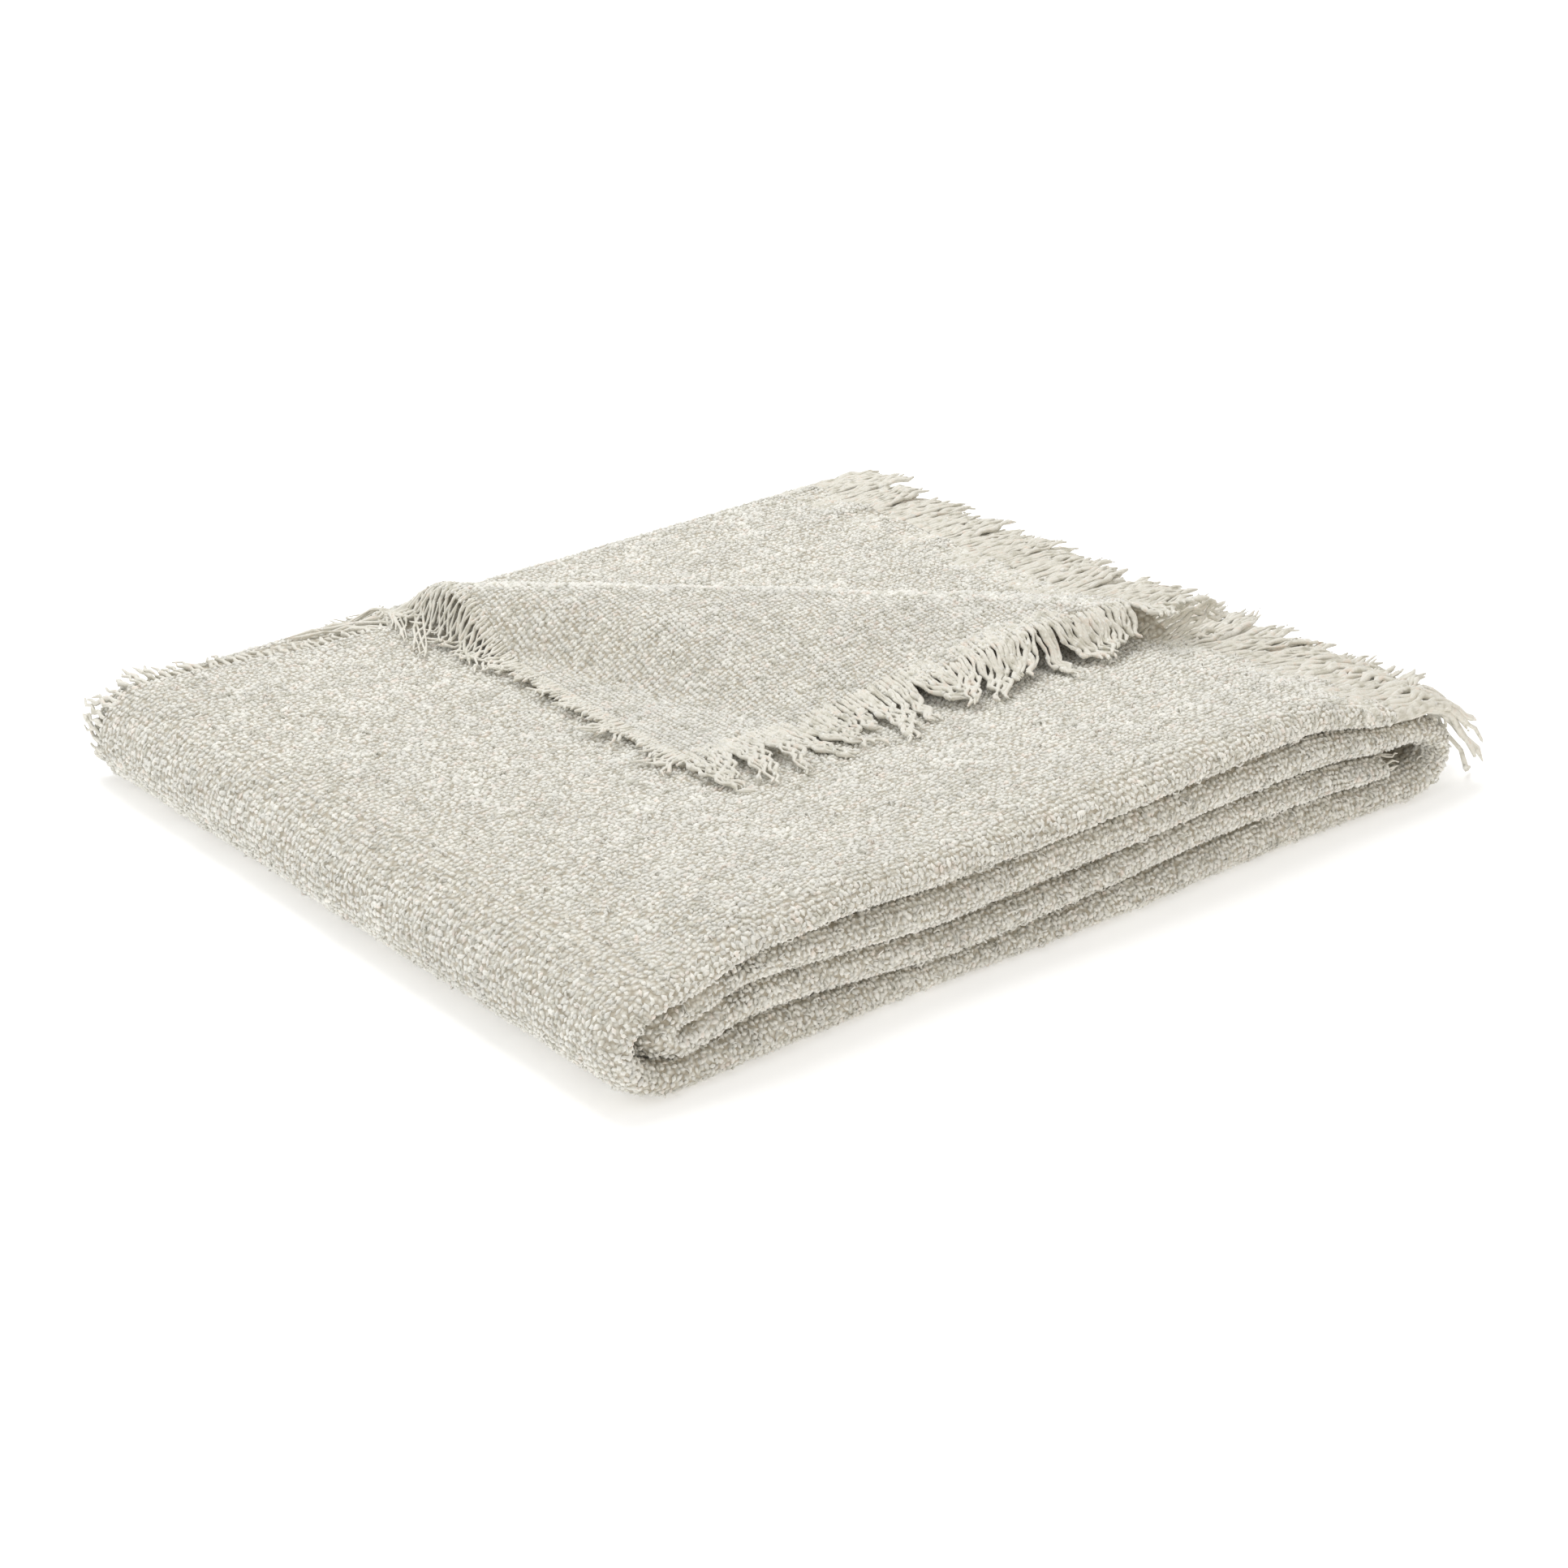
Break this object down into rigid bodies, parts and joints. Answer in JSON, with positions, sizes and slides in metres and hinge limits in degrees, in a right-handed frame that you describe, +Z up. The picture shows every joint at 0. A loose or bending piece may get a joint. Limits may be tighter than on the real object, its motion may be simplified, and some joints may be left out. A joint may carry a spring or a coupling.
{
  "type": "folded throw blanket",
  "caption": "Loosely woven off-white throw with frayed fringes, folded into a stack, one corner of its top layer turned back.",
  "frame": {"origin": "middle of the stack's footprint, on the surface it rests on", "axes": "+X along the stack's front fold, from its wrapped left end to its fringed right end; +Y from the front folds to the back; +Z up"},
  "size_m": [0.3872, 0.3316, 0.0613],
  "materials": {
    "cloth": "matt woven loop yarn",
    "fringe": "matt frayed yarn"
  },
  "bodies": {
    "root": {"cloth": "cloth", "side_fringe": "fringe", "corner_side_fringe": "fringe", "corner_end_fringe": "fringe", "end_fringe": "fringe", "hidden_side_fringe": "fringe", "hidden_end_fringe": "fringe"}
  },
  "joints": []
}
